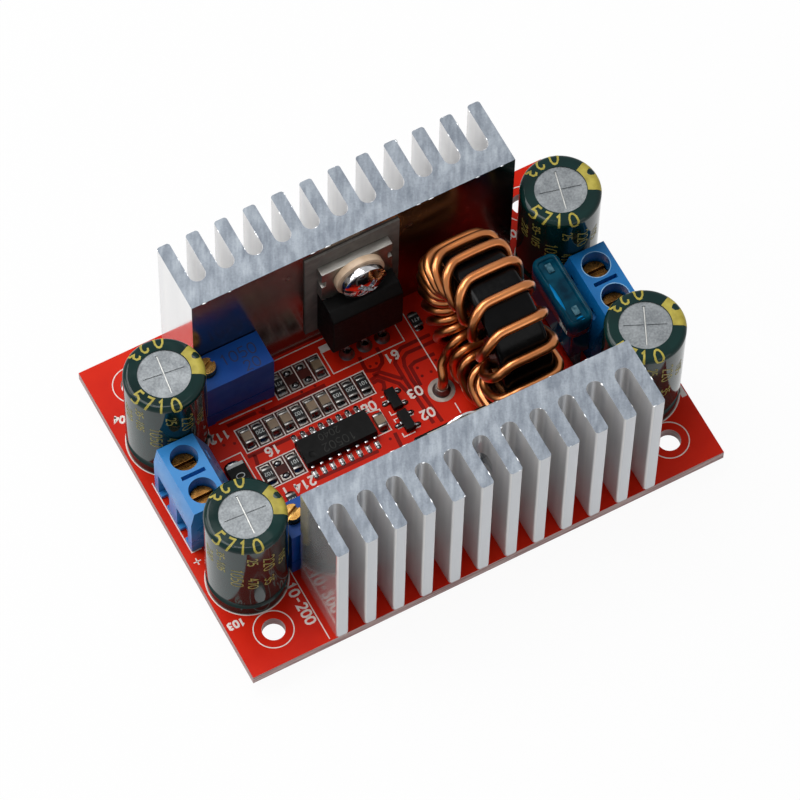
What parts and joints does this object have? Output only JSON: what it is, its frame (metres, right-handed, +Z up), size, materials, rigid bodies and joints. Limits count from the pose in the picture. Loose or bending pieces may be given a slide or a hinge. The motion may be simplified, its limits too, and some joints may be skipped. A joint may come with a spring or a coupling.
{
  "type": "boost converter module",
  "caption": "Step-up voltage converter board with finned heatsinks, toroidal inductor, electrolytic capacitors, blade fuse, multi-turn trimmers and screw terminals.",
  "frame": {"origin": "under the board's centre, on the plane that the trimmed lead tips rest on", "axes": "+X along the board's long side from the output terminal to the input terminal, +Y to the rear heatsink, +Z up from the board"},
  "size_m": [0.067, 0.048, 0.0278],
  "materials": {
    "board": "red solder mask over fibreglass",
    "heatsink_aluminium": "extruded, sawn ends",
    "black_moulding": "moulded epoxy",
    "tab_metal": "dull tinned plate",
    "insulating_pad": "grey silicone pad",
    "bushing_plastic": "cream nylon",
    "bright_screw": "bright plated",
    "can_aluminium": "brushed can",
    "sleeve_film": "dark green film with gold marks",
    "bung_rubber": "black rubber",
    "terminal_plastic": "moulded blue",
    "screw_brass": "dull brass",
    "cage_metal": "plated band",
    "trimmer_plastic": "moulded dark blue",
    "fuse_plastic": "clear dark blue moulding",
    "core_coating": "black coated powder core",
    "copper_wire": "clear enamelled copper",
    "resistor_glaze": "black glaze over ceramic",
    "capacitor_ceramic": "brown ceramic",
    "solder": "bright solder",
    "tinned_metal": "tinned metal"
  },
  "bodies": {
    "module": {"circuit_board": "board", "rear_heatsink": "heatsink_aluminium", "front_heatsink": "heatsink_aluminium", "mosfet_case": "black_moulding", "mosfet_tab": "tab_metal", "mosfet_leads": "tinned_metal", "mosfet_insulator": "insulating_pad", "mosfet_bushing": "bushing_plastic", "mosfet_screw": "bright_screw", "rectifier_case": "black_moulding", "rectifier_tab": "tab_metal", "rectifier_leads": "tinned_metal", "rectifier_insulator": "insulating_pad", "rectifier_screw": "bright_screw", "output_front_capacitor_can": "can_aluminium", "output_rear_capacitor_can": "can_aluminium", "input_front_capacitor_can": "can_aluminium", "input_rear_capacitor_can": "can_aluminium", "output_front_capacitor_sleeve": "sleeve_film", "output_rear_capacitor_sleeve": "sleeve_film", "input_front_capacitor_sleeve": "sleeve_film", "input_rear_capacitor_sleeve": "sleeve_film", "capacitor_bungs": "bung_rubber", "capacitor_leads": "tinned_metal", "output_terminal_housing": "terminal_plastic", "output_terminal_pins": "tinned_metal", "input_terminal_housing": "terminal_plastic", "input_terminal_pins": "tinned_metal", "fuse_body": "fuse_plastic", "fuse_element": "tinned_metal", "inductor_core": "core_coating", "inductor_winding": "copper_wire", "voltage_trimmer_housing": "trimmer_plastic", "voltage_trimmer_pins": "tinned_metal", "current_trimmer_housing": "trimmer_plastic", "current_trimmer_pins": "tinned_metal", "controller_ic_body": "black_moulding", "controller_ic_leads": "tinned_metal", "chip_resistors": "resistor_glaze", "chip_capacitors": "capacitor_ceramic", "chip_terminations": "tinned_metal", "transistor_bodies": "black_moulding", "transistor_leads": "tinned_metal", "diode_body": "black_moulding", "diode_tabs": "tinned_metal", "solder_joints": "solder"},
    "output_screw_a": {"output_terminal_screw_a": "screw_brass"},
    "output_cage_a": {"output_terminal_cage_a": "cage_metal"},
    "output_screw_b": {"output_terminal_screw_b": "screw_brass"},
    "output_cage_b": {"output_terminal_cage_b": "cage_metal"},
    "input_screw_a": {"input_terminal_screw_a": "screw_brass"},
    "input_cage_a": {"input_terminal_cage_a": "cage_metal"},
    "input_screw_b": {"input_terminal_screw_b": "screw_brass"},
    "input_cage_b": {"input_terminal_cage_b": "cage_metal"},
    "voltage_adjuster": {"voltage_trimmer_screw": "screw_brass"},
    "current_adjuster": {"current_trimmer_screw": "screw_brass"}
  },
  "joints": [
    {"name": "output_screw_a_turn", "type": "hinge", "parent": "module", "child": "output_screw_a", "pos_m": [-0.02925, -0.00254, 0.011], "axis": [0, 0, -1], "range_deg": [0, 1225]},
    {"name": "output_cage_a_rise", "type": "slide", "parent": "module", "child": "output_cage_a", "axis": [0, 0, 1], "range_m": [0, 0.0017]},
    {"name": "output_screw_b_turn", "type": "hinge", "parent": "module", "child": "output_screw_b", "pos_m": [-0.02925, 0.00254, 0.011], "axis": [0, 0, -1], "range_deg": [0, 1225]},
    {"name": "output_cage_b_rise", "type": "slide", "parent": "module", "child": "output_cage_b", "axis": [0, 0, 1], "range_m": [0, 0.0017]},
    {"name": "input_screw_a_turn", "type": "hinge", "parent": "module", "child": "input_screw_a", "pos_m": [0.02925, -0.00254, 0.011], "axis": [0, 0, -1], "range_deg": [0, 1225]},
    {"name": "input_cage_a_rise", "type": "slide", "parent": "module", "child": "input_cage_a", "axis": [0, 0, 1], "range_m": [0, 0.0017]},
    {"name": "input_screw_b_turn", "type": "hinge", "parent": "module", "child": "input_screw_b", "pos_m": [0.02925, 0.00254, 0.011], "axis": [0, 0, -1], "range_deg": [0, 1225]},
    {"name": "input_cage_b_rise", "type": "slide", "parent": "module", "child": "input_cage_b", "axis": [0, 0, 1], "range_m": [0, 0.0017]},
    {"name": "voltage_adjuster_turn", "type": "hinge", "parent": "module", "child": "voltage_adjuster", "pos_m": [-0.02105, 0.01223, 0.014], "axis": [0, 0, 1], "continuous": true},
    {"name": "current_adjuster_turn", "type": "hinge", "parent": "module", "child": "current_adjuster", "pos_m": [-0.02105, -0.01073, 0.014], "axis": [0, 0, 1], "continuous": true}
  ],
  "couplings": [
    {"joint": "output_screw_a_turn", "follows": "output_cage_a_rise", "rad_per_m": 12566},
    {"joint": "output_screw_b_turn", "follows": "output_cage_b_rise", "rad_per_m": 12566},
    {"joint": "input_screw_a_turn", "follows": "input_cage_a_rise", "rad_per_m": 12566},
    {"joint": "input_screw_b_turn", "follows": "input_cage_b_rise", "rad_per_m": 12566}
  ]
}
